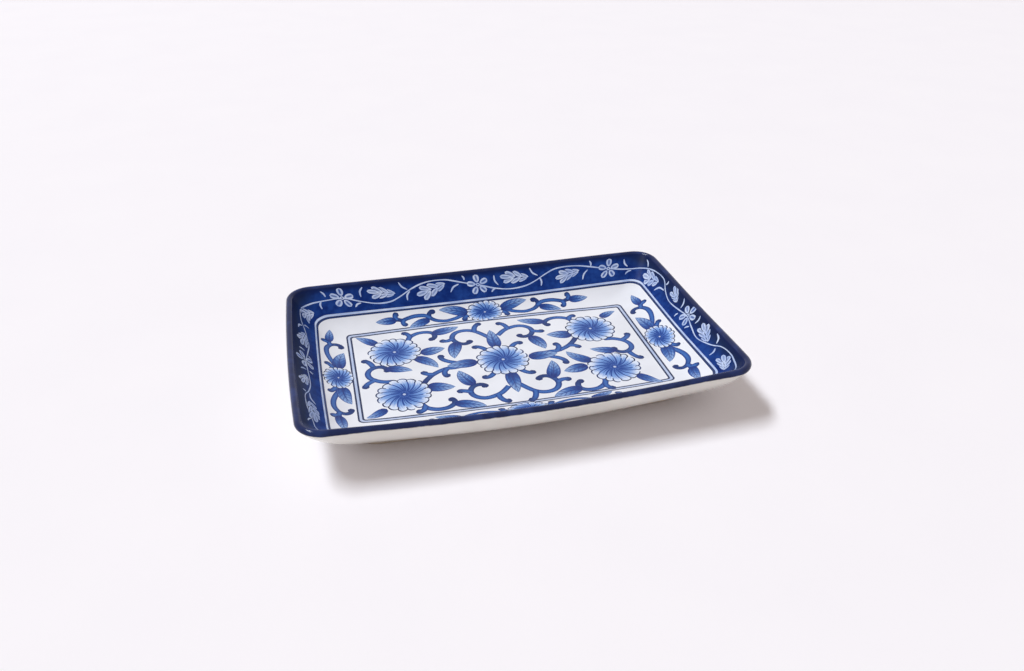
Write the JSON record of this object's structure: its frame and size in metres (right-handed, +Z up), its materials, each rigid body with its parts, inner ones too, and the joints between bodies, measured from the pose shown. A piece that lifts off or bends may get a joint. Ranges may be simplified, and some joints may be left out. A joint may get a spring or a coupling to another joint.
{
  "type": "soy sauce dish",
  "caption": "Shallow rectangular porcelain dish for soy sauce, with leaning walls, rounded lip, foot ring and blue-and-white underglaze flower scrolls.",
  "frame": {"origin": "on the table, under the middle of the foot ring", "axes": "+X along the dish, +Y across it, +Z up"},
  "size_m": [0.13, 0.087, 0.017],
  "materials": {
    "porcelain": "bare fired porcelain, matte",
    "well_glaze": "clear gloss glaze over white porcelain with blue painting",
    "cobalt_glaze": "gloss glaze over a cobalt wash",
    "lip_cobalt": "gloss glaze over dense cobalt",
    "clear_glaze": "clear gloss glaze over white porcelain"
  },
  "bodies": {
    "root": {"porcelain_body": "porcelain", "well_glaze": "well_glaze", "border_glaze": "cobalt_glaze", "lip_glaze": "lip_cobalt", "outer_glaze": "clear_glaze", "base_glaze": "clear_glaze"}
  },
  "joints": []
}
